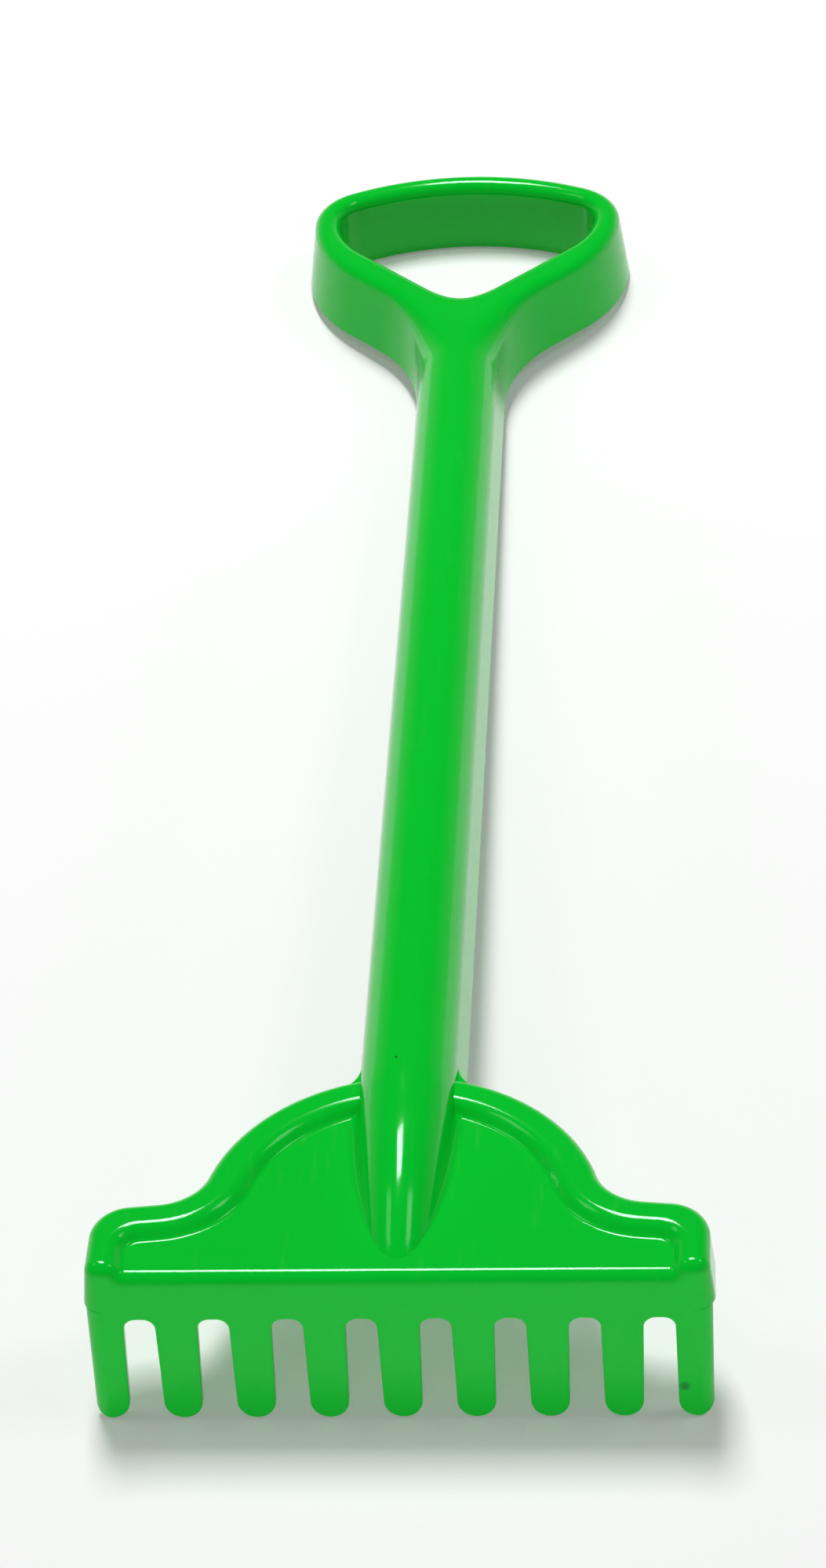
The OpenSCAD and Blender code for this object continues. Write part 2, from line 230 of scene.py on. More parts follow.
# %% [markdown]
# ## The head's blank
# Seen from above, the head is a dome between two hollow necks, falling shoulders and round
# corners. Its skirt leans out by 6 degrees, so that the moulding leaves its mould. The blank is
# drawn at the lower edge, and one Inset with a depth raises it to the top of the rim and leans
# the wall in the same stroke.

# %% Blank of the head
HEAD_W, DOME_R, CORNER_R, FRONT_R = 150, 49.5, 10, 3.8
DOME_C, NECK_C = at(0, 20.5), at(60.474, 37.8006)
CORNER_C, FRONT_C = at(65, 13.796), at(71.2, 3.8)
DOME_A, FALL = 15.9649, 6
RIM_H, EDGE_DROP, WALL = 2.8, 10.5, 2.2
HEAD_DRAFT = math.radians(6)


def head_outline(name, out, z):
    """The head's outline at height z, wider by out all round, as the leaning skirt is there."""
    up = at(0, 0, z)
    pen = pencil(name, DOME_C + (DOME_R + out) * MM * direction(90) + up)
    arc(DOME_C + up, DOME_A - 90)
    arc(NECK_C + up, 90 - FALL - DOME_A)
    line_to(pen, CORNER_C + (CORNER_R + out) * MM * direction(90 - FALL) + up)
    arc(CORNER_C + up, FALL - 90, step=5)
    line_to(pen, FRONT_C + (FRONT_R + out) * MM * direction(0) + up)
    arc(FRONT_C + up, -90, step=7.5)
    line_to(pen, at(0, -out, z))
    close_outline(pen)
    return pen


spread = EDGE_DROP * math.tan(HEAD_DRAFT)
rise = EDGE_DROP + RIM_H
head = head_outline("rake_head_moulding", spread, -EDGE_DROP)
bpy.ops.mesh.extrude_region_move()
bpy.ops.mesh.inset(thickness=rise * math.tan(HEAD_DRAFT) * MM, depth=rise * MM)
done()
outward(head, merge=SAME)
report("blank:", head)

# %% [markdown]
# ## The sunk panel
# Inside the rim the panel lies 2.8 mm lower. The rim's inner side rolls over a round crest,
# falls at 46 degrees and runs out in a small hollow foot. The same thing could be sculpted, but
# a tool that is sunk into the blank is closer to how a mould is cut: its outline is drawn at the
# crest and stepped down and inwards with Inset, and then a Boolean takes it away.

# %% Section of the rim
RIM_W, RIM_END_W, CREST_R, FOOT_R, SLOPE = 12.1, 9.9, 4.5, 2, math.radians(46)
RIM_RUN = (FOOT_R + CREST_R) * math.sin(SLOPE) + (
    RIM_H - (FOOT_R + CREST_R) * (1 - math.cos(SLOPE))) / math.tan(SLOPE)


def rim_section(steps=7):
    """Crest, slope and foot as (distance from the foot, height), from the crest down."""
    turns = [SLOPE * i / steps for i in range(steps + 1)]
    crest = [(RIM_RUN - CREST_R * math.sin(a), RIM_H - CREST_R * (1 - math.cos(a)))
             for a in turns]
    foot = [(FOOT_R * math.sin(a), FOOT_R * (1 - math.cos(a))) for a in turns[::-1]]
    return crest + foot


print("the rim's inner side runs in by", round(RIM_RUN, 2), "mm over a drop of", RIM_H, "mm")

# %% [markdown]
# The tool's outline follows the dome, the necks and the shoulders like the rim does, and towards
# the front it is open: there the panel runs out over the front edge.

# %% Sinking tool
FOOT_CORNER_R, FOOT_CORNER_C = 3, at(62.1, 8.97267)
TOOL_FRONT, TOOL_H = -20, 3
LEVEL = 0.9  # a face is level when its normal points at least this much up or down


def sinking_tool():
    up = at(0, 0, RIM_H)
    pen = pencil("sinking_tool", DOME_C + (DOME_R - RIM_W + RIM_RUN) * MM * direction(90) + up)
    arc(DOME_C + up, DOME_A - 90)
    arc(NECK_C + up, 90 - FALL - DOME_A)
    line_to(pen, FOOT_CORNER_C + (FOOT_CORNER_R + RIM_RUN) * MM * direction(90 - FALL) + up)
    arc(FOOT_CORNER_C + up, FALL - 90, step=4)
    line_to(pen, at(HEAD_W / 2 - RIM_END_W + RIM_RUN, TOOL_FRONT, RIM_H))
    line_to(pen, at(0, TOOL_FRONT, RIM_H))
    close_outline(pen)
    raise_by(TOOL_H)
    bpy.ops.mesh.select_all(action="DESELECT")
    bm = bmesh.from_edit_mesh(pen.data)
    pick_parts(pen, bm.faces, lambda f: abs(f.normal.z) > LEVEL
               and f.calc_center_median().z < (RIM_H + TOOL_H / 2) * MM)
    section = rim_section()
    for (x0, z0), (x1, z1) in zip(section, section[1:]):
        bpy.ops.mesh.inset(thickness=(x0 - x1) * MM, depth=(z0 - z1) * MM)
    done()
    outward(pen, merge=0.1 * SAME)
    return pen


tool = sinking_tool()
report("sinking tool:", tool)
cut_away(head, tool)

# %% [markdown]
# ## The round outer edge
# The blank's upper edge is still sharp all round. On the real head one radius runs along the
# rim, round the corners and along the front, where it climbs from the panel over the rim's
# slope to the two end pads. Bevel does all of that at once, because the edge is one closed loop.
# Its offset is measured along the faces, so it is worked out from the radius and from half the
# angle between the skirt and the top.

# %% Rounding the upper edge
EDGE_R = 3.4
STEEP, SHALLOW = 0.3, 0.6  # how much of a face's normal points up
HALF_CORNER = (math.pi / 2 + HEAD_DRAFT) / 2


def is_upper_edge(edge):
    """True where the skirt, a steep face, meets the panel or the rim, a shallow one."""
    if len(edge.link_faces) != 2:
        return False
    steep, shallow = sorted(abs(f.normal.z) for f in edge.link_faces)
    above_panel = min(v.co.z for v in edge.verts) > -1 * MM
    return steep < STEEP and shallow > SHALLOW and edge.calc_length() > 0 and above_panel


bm = edit(head, "EDGE")
picked = pick_parts(head, bm.edges, is_upper_edge)
bpy.ops.mesh.bevel(offset=EDGE_R / math.tan(HALF_CORNER) * MM, segments=9, profile=0.5,
                   affect="EDGES", clamp_overlap=False)
done()
print("upper edge:", picked, "edges rounded to", EDGE_R, "mm")

# %% [markdown]
# ## From blank to shell
# A moulding of this kind is a thin skin, open below. The blank's underside is taken off, and
# Solidify gives the skin its wall on the inside. The lower edge is then pressed flat.

# %% Shell of the head
def open_below(obj):
    bm = edit(obj, "FACE")
    count = pick_parts(obj, bm.faces, lambda f: f.normal.z < -LEVEL)
    bpy.ops.mesh.delete(type="FACE")
    done()
    print(obj.name, "opened:", count, "faces removed")


def give_wall(obj, even=True):
    apply_modifier(obj, "SOLIDIFY", thickness=WALL * MM, offset=-1.0,
                   use_even_offset=even, use_quality_normals=True)


def press_flat(obj, z, reach=1.5):
    """Flatten to the height z all the points that lie within reach of it."""
    bm = edit(obj)
    pick_parts(obj, bm.verts, lambda v: abs(v.co.z - z * MM) < reach * MM)
    bpy.ops.transform.resize(value=(1, 1, 0), center_override=at(0, 0, z))
    done()


open_below(head)
give_wall(head)
press_flat(head, -EDGE_DROP)

# %% [markdown]
# ## Nine tines
# The tines are one flat plate that hangs from the front of the skirt and leans forwards with
# it. Its ends are rounded like the head's corners and set in by half a millimetre. It stops a
# hair above the tips of the round cutters that come next, so that they leave a clean narrow flat.

# %% Plate of the tines
TINE_T, TINE_DROP, TINE_STEP, TINE_END_R = 2.8, 43.3, 0.5, 4
TINE_EDGE = HEAD_W / 2 + spread - TINE_STEP
TIP_FLAT = 0.02
plate_top = EDGE_DROP / math.cos(HEAD_DRAFT)

plate = pencil("tine_plate", at(0, 0))
end_c = at(TINE_EDGE - TINE_END_R, TINE_END_R)
line_to(plate, end_c - at(0, TINE_END_R))
arc(end_c, 90 - math.degrees(math.asin(1 - TINE_T / TINE_END_R)), step=6)
line_to(plate, at(0, TINE_T))
close_outline(plate)
raise_by(plate_top - TINE_DROP + TIP_FLAT)
done()
outward(plate)
settle(plate, at(0, -spread, -EDGE_DROP), (-HEAD_DRAFT, 0, 0))
press_flat(plate, -EDGE_DROP)
report("plate:", plate)

# %% [markdown]
# What lies between two tines is a slot with round upper corners, and beside it a quarter circle
# of each neighbouring tip. It is modelled once as a cutter and copied along the plate, so that
# all the tines come out alike.

# %% The cutter between two tines
TINES, END_TINE_W, SLOT_W, SLOT_TIP_W, SLOT_TOP, SLOT_R = 9, 9.1, 7.7, 8.5, 12.9, 3
PITCH = (2 * TINE_EDGE - 2 * END_TINE_W - SLOT_W) / (TINES - 2)
CUTTER_T, BEYOND = 16, 3
tip_r = (PITCH - SLOT_TIP_W) / 2
below = at(0, -TINE_DROP - BEYOND)


def stand_up(pen, x=0.0):
    """Make a drawn outline a block and stand it across the plate, with its middle at x."""
    raise_by(CUTTER_T)
    bpy.ops.mesh.select_all(action="SELECT")
    bpy.ops.transform.translate(value=at(0, 0, -CUTTER_T / 2))
    done()
    outward(pen)
    settle(pen, at(x, 0), (math.radians(90) - HEAD_DRAFT, 0, 0))


slot = pencil("slot_cutter", at(0, -SLOT_TOP))
line_to(slot, at(SLOT_W / 2 - SLOT_R, -SLOT_TOP))
arc(at(SLOT_W / 2 - SLOT_R, -SLOT_TOP - SLOT_R), -90, step=7.5)
line_to(slot, at(SLOT_TIP_W / 2, tip_r - TINE_DROP))
arc(at(PITCH / 2, tip_r - TINE_DROP), 90, step=5)
line_to(slot, at(PITCH / 2) + below)
line_to(slot, below)
close_outline(slot)
stand_up(slot, -(TINES - 2) / 2 * PITCH)
slots = [slot] + copies(slot, [at(i * PITCH) for i in range(1, TINES - 1)])
print("slot cutters:", len(slots), "at a pitch of", round(PITCH, 2), "mm")

# %% [markdown]
# The two outer tines end in a corner of their own. It is drawn once, too, and mirrored.

# %% Outer corners, and the cuts
end_x = (TINES - 1) / 2 * PITCH
end_r = TINE_EDGE - end_x
corner = pencil("corner_cutter", at(end_x, -TINE_DROP))
arc(at(end_x, end_r - TINE_DROP), 90, step=5)
line_to(corner, at(TINE_EDGE + BEYOND, end_r - TINE_DROP))
line_to(corner, at(TINE_EDGE + BEYOND) + below)
line_to(corner, at(end_x) + below)
fill_outline()
stand_up(corner)
apply_modifier(corner, "MIRROR")
outward(corner)
for cutter in slots + [corner]:
    cut_away(plate, cutter)
report("plate with nine tines:", plate)

# %% [markdown]
# The edges of slots and tips are never quite sharp on a moulding. A small bevel along them
# catches the light as a thin line, as it does on the real tines.

# %% Soft edges on the tines
TINE_SOFT, SOFT_BELOW = 0.35, SLOT_TOP - 0.5
SHARP_CORNER = 0.4  # the product of two faces' normals, 1 where the faces go straight on
bm = edit(plate, "EDGE")
picked = pick_parts(plate, bm.edges, lambda e: len(e.link_faces) == 2
                    and e.link_faces[0].normal.dot(e.link_faces[1].normal) < SHARP_CORNER
                    and max(v.co.z for v in e.verts) < -SOFT_BELOW * MM)
bpy.ops.mesh.bevel(offset=TINE_SOFT * MM, segments=3, profile=0.5, affect="EDGES",
                   clamp_overlap=False)
done()
print("tine edges softened:", picked)

# %% [markdown]
# ## Corners beside the shaft
# Where the skirt runs against the shaft, a small fillet in plan fills the corner on each side.
# It is a flat-topped block with one hollow side, and it belongs to the head.

# %% Corner fillets
SHAFT_HALF, FILLET_PLAN_R, FILLET_C = 12.219, 9, Vector((21.2189, 75.0161, 0))
FILLET_INNER_Y, FILLET_SOFT, CLEAR_OF_EDGE = 66.5, 0.5, 0.04
to_dome = DOME_C / MM - FILLET_C
root = DOME_C - (DOME_R - WALL) * MM * to_dome.normalized()
fillet = pencil("corner_fillet", FILLET_C * MM - at(FILLET_PLAN_R))
arc(FILLET_C * MM, math.degrees(math.atan2(-to_dome.y, -to_dome.x)), step=4)
line_to(fillet, root)
line_to(fillet, at(SHAFT_HALF, FILLET_INNER_Y))
fill_outline()
raise_by(CLEAR_OF_EDGE - EDGE_DROP)
done()
outward(fillet)
bm = edit(fillet, "EDGE")
pick_parts(fillet, bm.edges, lambda e: min(v.co.z for v in e.verts) > -0.1 * MM)
bpy.ops.mesh.bevel(offset=FILLET_SOFT * MM, segments=4, affect="EDGES", clamp_overlap=True)
done()
apply_modifier(fillet, "MIRROR", use_mirror_merge=False)
outward(fillet)
join(head, plate, fillet)
report("head with tines and corner fillets:", head)

# %% [markdown]
# ## The shaft
# The shaft is a half-round bar on two slightly leaning sides. At the head it bends down and
# runs out over the panel in a long pointed nose, with a soft hollow where it meets the panel. A
# path with a bevelled curve would bend the sides too, so a grid is laid out instead, and each of
# its rows is shaped by one rule for the section. The first part of the rule gives the section's
# half width at each of its heights, and the height to which the bend takes it.

# %% Section and bend of the shaft
SHAFT_R, SIDE_DRAFT = 12.1, math.radians(8)
SIDE_TOP = SHAFT_R * math.sin(SIDE_DRAFT)
NOSE_SLOPE, BEND_R, BEND_Y = math.radians(14), 60, 63.5832
NOSE_TIP_Y, HEAD_END_Y, JOINT_Y = 6.2, 67.9, 391


def half_width(h):
    if h > SIDE_TOP:
        return math.sqrt(max(SHAFT_R ** 2 - h ** 2, 0))
    return (SHAFT_R - h * math.sin(SIDE_DRAFT)) / math.cos(SIDE_DRAFT)


def height(h, y):
    """Height at y of the line that runs along the shaft at height h of its section."""
    r = BEND_R + h
    turn_y = BEND_Y - r * math.sin(NOSE_SLOPE)
    if y >= BEND_Y:
        return h
    if y > turn_y:
        return math.sqrt(r * r - (BEND_Y - y) ** 2) - BEND_R
    return r * math.cos(NOSE_SLOPE) - BEND_R - (turn_y - y) * math.tan(NOSE_SLOPE)


print("shaft:", round(2 * half_width(-EDGE_DROP), 1), "mm wide at its lower edge, bends from y =",
      round(BEND_Y - (BEND_R + SHAFT_R) * math.sin(NOSE_SLOPE), 1), "to", round(BEND_Y, 1))

# %% [markdown]
# The ridge of the nose is one long soft arc, which is what draws its highlight out to a spindle.
# The rest of the section is stretched upwards with it.

# %% Ridge of the nose
ARC_Y, ARC_H, ARC_START, ARC_END = 47, 11.171, math.radians(3.73), math.radians(26.88)
ARC_R = (ARC_Y - NOSE_TIP_Y) / (math.sin(ARC_END) - math.sin(ARC_START))
TANGENT_Y = 58.89


def ridge(y):
    """Height of the ridge: level with the ground first, then an arc down to the tip."""
    if y >= ARC_Y:
        return min(height(SHAFT_R, max(y, TANGENT_Y)),
                   ARC_H + (y - ARC_Y) * math.tan(ARC_START))
    turn = math.asin(math.sin(ARC_START) + (ARC_Y - y) / ARC_R)
    return ARC_H - ARC_R * (math.cos(ARC_START) - math.cos(turn))


print("nose: ridge radius", round(ARC_R, 1), "mm, height at the tip", round(ridge(NOSE_TIP_Y), 2))

# %% [markdown]
# Between the nose and the panel lies a fillet, small at the tip, 3 mm along the nose and nearly
# nothing where the shaft runs into the rim. Its circle touches the panel and the section at the
# same time. Where that happens has no short formula, so the place is closed in by halving.

# %% Fillet at the foot of the nose
TIP_FILLET_R, NOSE_FILLET_R, RIM_FILLET_R = 0.35, 3, 0.05
GROWS_FROM, GROWS_TO, FADES_FROM, FADES_TO = 8, 30, 52, 64
HALVINGS, DEEPEST, NEARBY = 40, -60, 0.01


def ease(t):
    """Go from 0 to 1 with a soft start and a soft end."""
    t = min(max(t, 0), 1)
    return t * t * (3 - 2 * t)


def fillet_radius(y):
    r = TIP_FILLET_R + (NOSE_FILLET_R - TIP_FILLET_R) * ease(
        (y - GROWS_FROM) / (GROWS_TO - GROWS_FROM))
    return r - (r - RIM_FILLET_R) * ease((y - FADES_FROM) / (FADES_TO - FADES_FROM))


def level_of(z, y):
    """The line of the section that passes height z at y."""
    low, high = DEEPEST, SHAFT_R
    for _ in range(HALVINGS):
        middle = (low + high) / 2
        low, high = (middle, high) if height(middle, y) < z else (low, middle)
    return (low + high) / 2


def on_section(h, y):
    """Point of the section at y, and its outward direction there, seen from the front."""
    over = min(h + NEARBY, SHAFT_R)
    a = Vector((half_width(over), height(over, y)))
    b = Vector((half_width(h - NEARBY), height(h - NEARBY, y)))
    t = a - b
    return Vector((half_width(h), height(h, y))), Vector((t.y, -t.x)).normalized()


def hollow_foot(y, count):
    """The line of the section on which the fillet ends, and the fillet's points up to it."""
    r = fillet_radius(y)
    low, high = level_of(0, y), SHAFT_R
    for _ in range(HALVINGS):
        base = (low + high) / 2
        p, n = on_section(base, y)
        low, high = (base, high) if p.y + r * n.y < r else (low, base)
    centre = p + r * n
    end = math.atan2(-n.y, -n.x)
    end = end if end < 0 else end - 2 * math.pi
    turns = [-math.pi / 2 + (end + math.pi / 2) * i / count for i in range(count)]
    return base, [(centre.x + r * math.cos(a), centre.y + r * math.sin(a)) for a in turns]


print("fillet beside the nose:",
      [round(fillet_radius(y), 2) for y in (GROWS_FROM, GROWS_TO, FADES_TO)], "mm")

# %% [markdown]
# One row of the grid is the right half of a section, with its points at even distances along
# the side and the round top. The rows lie close together along the nose, closest at its tip,
# and far apart on the straight shaft, where nothing changes.

# %% Rows of the shaft
COLUMNS, FOOT_POINTS = 34, 6
TIP_GAP, TIP_STEP, TIP_GROWTH, TIP_ROWS = 0.02, 0.15, 1.22, 17
NOSE_FROM, NOSE_STEP, NOSE_ROWS = 12, 1.5, 37
RIM_ROWS = [67, HEAD_END_Y, HEAD_END_Y + 0.4, 70]
STRAIGHT_FROM, STRAIGHT_STEP, STRAIGHT_ROWS = 74, 8, 39


def straight_foot(count):
    """Points of the leaning side below the panel's height, from its lower edge up."""
    drops = [-EDGE_DROP * (1 - i / count) for i in range(count)]
    return [(half_width(h), h) for h in drops]


def shaft_row(y):
    """Right half of the section at y, from its lower end up to the ridge."""
    if y > HEAD_END_Y:
        base, foot = 0.0, straight_foot(FOOT_POINTS)
    else:
        base, foot = hollow_foot(y, FOOT_POINTS)
    side = max(SIDE_TOP - base, 0) / math.cos(SIDE_DRAFT)
    start = math.asin(max(base, SIDE_TOP) / SHAFT_R)
    length = side + SHAFT_R * (math.pi / 2 - start)
    above = COLUMNS - FOOT_POINTS
    levels = []
    for i in range(above):
        along = length * i / (above - 1)
        levels.append(base + along * math.cos(SIDE_DRAFT) if along < side
                      else SHAFT_R * math.sin(start + (along - side) / SHAFT_R))
    points = foot + [(half_width(h), height(min(h, SHAFT_R), y)) for h in levels]
    fuller = max(ridge(y) / height(SHAFT_R, y), 1) if y < HEAD_END_Y else 1
    return [(x, z * fuller) for x, z in points]


tip = [TIP_GAP] + [TIP_STEP * TIP_GROWTH ** i for i in range(TIP_ROWS)]
stations = [NOSE_TIP_Y + step for step in tip if NOSE_TIP_Y + step < NOSE_FROM]
stations += [NOSE_FROM + NOSE_STEP * i for i in range(NOSE_ROWS)] + RIM_ROWS
stations += [STRAIGHT_FROM + STRAIGHT_STEP * i for i in range(STRAIGHT_ROWS)] + [JOINT_Y]
print("shaft:", len(stations), "sections of", 2 * COLUMNS - 1, "points")

# %% [markdown]
# A grid primitive has its vertices in rows, so each row can take the shape of a section. It
# starts far too small and flat, and every vertex is then put in its place.

# %% A grid shaped row by row
def shaped_grid(name, rows):
    """A grid whose rows become the given lists of points."""
    pick()
    bpy.ops.mesh.primitive_grid_add(x_subdivisions=len(rows[0]) - 1,
                                    y_subdivisions=len(rows) - 1, size=MM)
    obj = bpy.context.object
    obj.name = name
    points = [p for row in rows for p in row]
    for vertex, point in zip(obj.data.vertices, points, strict=True):
        vertex.co = Vector(point) * MM
    return obj


rows = []
for y in stations:
    right = [(x, y, z) for x, z in shaft_row(y)]
    rows.append([(-x, y, z) for x, y, z in right] + right[-2::-1])
shaft = shaped_grid("shaft_moulding", rows)
outward(shaft, merge=0.1 * SAME)
if shaft.data.polygons[len(shaft.data.polygons) // 2].normal.z < 0:
    turn_over(shaft)
give_wall(shaft)
report("shaft:", shaft)

# %% [markdown]
# The wall on the skin's inside would now stand out below the panel. So the points over the head
# are lifted until they end inside the panel and, further back, inside the rim.

# %% Ending the nose inside the panel
INSIDE_PANEL = 1.9


def lift_into_panel(point):
    if point.y < (HEAD_END_Y + 0.1) * MM:
        past_foot = (point.xy - DOME_C.xy).length / MM - DOME_R + RIM_W
        point.z = max(point.z, (RIM_H * ease(past_foot / RIM_RUN) - INSIDE_PANEL) * MM)


for vertex in shaft.data.vertices:
    lift_into_panel(vertex.co)
report("shaft with its nose ended in the panel:", shaft)

# %% [markdown]
# Cross ribs stiffen the hollow shaft from below, and two round pegs with flat heads rivet the
# nose to the panel. The shaft's section is drawn once more for the ribs, this time as a block.

# %% Cross ribs
RIBS, RIB_T, RIB_LOW, RIB_STEP, FIRST_RIB = 5, 1.8, -6.5, 56.2, 88


def section_block(name, inset, low, y0, y1):
    """A block from y0 to y1 with the shaft's section, smaller all round and cut off at low."""
    r = SHAFT_R - inset
    side = r * direction(math.degrees(SIDE_DRAFT))
    pen = pencil(name, at(0, r))
    arc(at(0, 0), math.degrees(SIDE_DRAFT) - 90, step=4)
    line_to(pen, at(side.x + (side.y - low) * math.tan(SIDE_DRAFT), low))
    line_to(pen, at(0, low))
    close_outline(pen)
    raise_by(y1 - y0)
    done()
    outward(pen)
    settle(pen, at(0, y1), (math.radians(90), 0, 0))
    return pen


rib = section_block("shaft_rib", WALL / 2, RIB_LOW, FIRST_RIB, FIRST_RIB + RIB_T)
ribs = [rib] + copies(rib, [at(0, i * RIB_STEP) for i in range(1, RIBS)])
print(len(ribs), "ribs, one every", RIB_STEP, "mm")

# %% [markdown]
# Each peg is a round pin that starts inside the nose's wall, and a wider flat head below the
# panel keeps it there. Pin and head are short cylinders, added at their size and place and
# joined to the shaft's mesh with the ribs.

# %% Pegs
PEGS_Y, PEG_R, PEG_HEAD_R = (53.19, 35.19), 2.5, 4.5
PIN_END, HEAD_T = 0.4, 1.2

pegs = []
for peg_y in PEGS_Y:
    roof = ridge(peg_y) - WALL / 2
    for r, low, high in ((PEG_R, -WALL - PIN_END, roof), (PEG_HEAD_R, -WALL - HEAD_T, -WALL)):
        bpy.ops.mesh.primitive_cylinder_add(vertices=40, radius=r * MM, depth=(high - low) * MM,
                                            location=at(0, peg_y, (low + high) / 2))
        pegs.append(bpy.context.object)
        settle(pegs[-1])
join(shaft, *ribs, *pegs)
report("shaft with ribs, pegs and their heads:", shaft)

# %% [markdown]
# ## The grip
# The grip is a round band bent into a D, whose two flanks swing into the shaft. The band's edge
# is fully round, and towards the shaft the outer edge grows rounder and rounder until it is the
# shaft's own half-round top. Bevel can't grow its radius along an edge that smoothly, so the
# section is carried round the outline row by row, once outside and once round the opening.

# %% Grip outline
BAND_W, HOLE_IN, THROAT_EDGE_R = 8.2, 9.78951, 6.5
FAR_C, FAR_R, FAR_A = Vector((0, 414.3)), 85, 62.413
GRIP_CORNER_C, GRIP_CORNER_R = Vector((30.1, 471.909)), 20
SIDE_C, SIDE_R, ARM_A = Vector((1.762, 471.909)), 48.338, 45
HOLE_SIDE_C, HOLE_SIDE_R = Vector((11.664, 471.909)), 28.646
FLANK_C, FLANK_R = Vector((62.2189, 393.295)), 50
THROAT_C, THROAT_R = Vector((0, 439.531)), 14
ARM_END = Vector((19.94, 439.675))
BAND_R = BAND_W / 2


def grip_arc(c, r, a0, a1, bulge=1, e0=BAND_R, e1=BAND_R, step=2.5):
    """Places along an arc, each with its outward direction and the edge's radius there."""
    n = max(2, math.ceil(abs(a1 - a0) / step))
    places = []
    for i in range(n + 1):
        d = direction(a0 + (a1 - a0) * i / n).to_2d()
        edge = e0 + (e1 - e0) * ease(i / n) * (i / n) ** 0.25
        places.append((c + r * d, bulge * d, edge))
    return places


def far_side(inwards):
    """The far arc and the corner of the D, moved inwards by a distance."""
    return (grip_arc(FAR_C, FAR_R - inwards, 90, FAR_A)
            + grip_arc(GRIP_CORNER_C, GRIP_CORNER_R - inwards, FAR_A, 0)[1:])


def whole(half):
    """Both sides of an outline whose right half runs from the middle line to the middle line."""
    left = [(Vector((-p.x, p.y)), Vector((-n.x, n.y)), e) for p, n, e in half[::-1]]
    return half + [place for place in left if place[0].x < -SAME]


band = far_side(0) + grip_arc(SIDE_C, SIDE_R, 0, -ARM_A)[1:]
flank = grip_arc(FLANK_C, FLANK_R, 180 - ARM_A, 180, -1, BAND_R, SHAFT_R, step=1.5)
joint = [(Vector((FLANK_C.x - FLANK_R, JOINT_Y)), Vector((1, 0)), SHAFT_R)]
outer_line = whole(band + flank + joint)
arm_end = [(ARM_END, direction(-ARM_A).to_2d(), BAND_R)]
throat = grip_arc(THROAT_C, THROAT_R, -ARM_A, -90, 1, BAND_R, THROAT_EDGE_R)
hole_line = whole(far_side(HOLE_IN) + grip_arc(HOLE_SIDE_C, HOLE_SIDE_R, 0, -ARM_A)[1:]
                  + arm_end + throat[1:])
print("grip outline:", len(outer_line), "places outside,", len(hole_line), "round the opening")
print("tangents fit to", round(max(
    abs((GRIP_CORNER_C - FAR_C).length - (FAR_R - GRIP_CORNER_R)),
    abs((FLANK_C - SIDE_C).dot(direction(-ARM_A).to_2d()) - FLANK_R - SIDE_R)), 3), "mm")

# %% [markdown]
# At each place stands one column of points: up the drafted wall and over the rounded edge to
# the top. Outside the wall leans one way and in the opening the other, so that both leave the
# mould. The columns make two skins, which meet along the top of the band.

# %% Sections of the grip
GRIP_TOP, HOLE_DRAFT, TOP_GAP = SHAFT_R, math.radians(3), 0.02


def edge_section(r, draft, sign, steps=12):
    """Wall and rounded edge as (distance outwards, height), for a solid or for an opening."""
    back = (r + (GRIP_TOP - r) * math.sin(draft)) / math.cos(draft)
    low = EDGE_DROP * math.tan(draft)
    points = [(sign * low, -EDGE_DROP)]
    for i in range(steps + 1):
        a = draft + (math.pi / 2 - draft) * i / steps
        points.append((sign * (r * math.cos(a) - back), GRIP_TOP - r + r * math.sin(a)))
    return points


def skin(name, line, draft, sign):
    columns = []
    for p, n, r in line + line[:1]:
        columns.append([(*(p + x * n), z) for x, z in edge_section(r, draft, sign)])
    return shaped_grid(name, columns)


grip = skin("grip_moulding", outer_line, SIDE_DRAFT, 1)
opening = skin("opening_skin", hole_line, HOLE_DRAFT, -1)
join(grip, opening)
edit_all(grip)
bpy.ops.mesh.remove_doubles(threshold=TOP_GAP * MM)
done()
report("grip:", grip)

# %% [markdown]
# Between the two skins only the top is missing: the flat web in the throat. Its rim is the one
# open loop at the top, so it is picked by its height and filled. Solidify then gives the whole
# skin its wall, as on the head.

# %% Web of the grip
bm = edit(grip, "EDGE")
top_edges = pick_parts(grip, bm.edges, lambda e: e.is_boundary and all(
    v.co.z > (GRIP_TOP - 0.01) * MM for v in e.verts))
bpy.ops.mesh.fill(use_beauty=True)
done()
outward(grip)
web = max(grip.data.polygons, key=lambda f: f.area * abs(f.normal.z))
if web.normal.z < 0:
    turn_over(grip)
give_wall(grip, even=False)
press_flat(grip, -EDGE_DROP)
print("web filled inside", top_edges, "edges")

# %% [markdown]
# The grip is hollow from below, too. Its open end towards the shaft is closed by a wall, from
# which a tongue reaches into the shaft. The block with the shaft's section serves for both.

# %% Closing wall and tongue
JOINT_GAP, CLOSING_T, TONGUE_L, TONGUE_ROOT, TONGUE_PLAY = 0.3, 3, 22, 1.5, 0.2
closing_wall = section_block("closing_wall", WALL / 2, -EDGE_DROP, JOINT_Y + JOINT_GAP,
                             JOINT_Y + JOINT_GAP + CLOSING_T)
tongue = section_block("tongue", WALL + TONGUE_PLAY, RIB_LOW, JOINT_Y - TONGUE_L,
                       JOINT_Y + TONGUE_ROOT)
cut_away(tongue, section_block("tongue_hollow", 2 * WALL + TONGUE_PLAY, -EDGE_DROP,
                               JOINT_Y - TONGUE_L - 1, JOINT_Y))
report("tongue:", tongue)

# %% [markdown]
# Cross ribs stand in the hollow band, four on each side. They are set square to the band and
# taper towards the top, where the band's edges are round.

# %% Ribs of the band
BAND_RIBS, BAND_RIB_H, BAND_RIB_Z, RIB_TAPER = 4, 15.5, 1.25, 0.8


